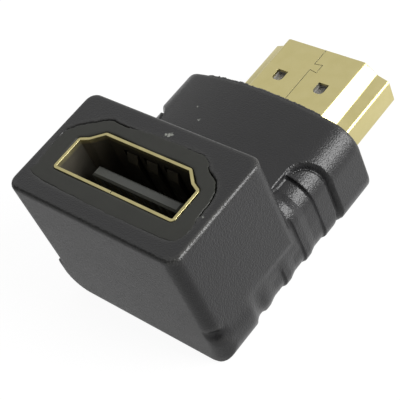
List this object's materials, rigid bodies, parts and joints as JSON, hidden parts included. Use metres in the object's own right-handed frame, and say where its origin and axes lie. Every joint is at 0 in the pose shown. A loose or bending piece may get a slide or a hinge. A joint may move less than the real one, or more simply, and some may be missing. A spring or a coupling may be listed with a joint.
{
  "type": "right angle video adapter",
  "caption": "Right-angle video adapter: a flat gilt plug leaves one side of a ribbed soft body, and a recessed wide port opens on top.",
  "frame": {"origin": "on the flat underside, below the middle of the port", "axes": "+Y the way the plug points, +Z the way the port opens, X across the width of both connectors"},
  "size_m": [0.0208, 0.0311, 0.0155],
  "materials": {
    "soft_moulding": "satin black soft moulding with a fine grain",
    "inner_moulding": "smooth black inner moulding",
    "gilt_shell": "pale gilt plating on formed sheet",
    "insulator": "dark grey moulded insulator",
    "circuit_board": "green lacquered board",
    "contact_metal": "gilt contact strip"
  },
  "bodies": {
    "root": {"inner_mould": "inner_moulding", "link_board": "circuit_board", "overmould": "soft_moulding", "plug_contact_01": "contact_metal", "plug_contact_02": "contact_metal", "plug_contact_03": "contact_metal", "plug_contact_04": "contact_metal", "plug_contact_05": "contact_metal", "plug_contact_06": "contact_metal", "plug_contact_07": "contact_metal", "plug_contact_08": "contact_metal", "plug_contact_09": "contact_metal", "plug_contact_10": "contact_metal", "plug_contact_11": "contact_metal", "plug_contact_12": "contact_metal", "plug_contact_13": "contact_metal", "plug_contact_14": "contact_metal", "plug_contact_15": "contact_metal", "plug_contact_16": "contact_metal", "plug_contact_17": "contact_metal", "plug_contact_18": "contact_metal", "plug_contact_19": "contact_metal", "plug_insulator": "insulator", "plug_shell": "gilt_shell", "port_contact_01": "contact_metal", "port_contact_02": "contact_metal", "port_contact_03": "contact_metal", "port_contact_04": "contact_metal", "port_contact_05": "contact_metal", "port_contact_06": "contact_metal", "port_contact_07": "contact_metal", "port_contact_08": "contact_metal", "port_contact_09": "contact_metal", "port_contact_10": "contact_metal", "port_contact_11": "contact_metal", "port_contact_12": "contact_metal", "port_contact_13": "contact_metal", "port_contact_14": "contact_metal", "port_contact_15": "contact_metal", "port_contact_16": "contact_metal", "port_contact_17": "contact_metal", "port_contact_18": "contact_metal", "port_contact_19": "contact_metal", "port_insulator": "insulator", "port_shell": "gilt_shell"}
  },
  "joints": []
}
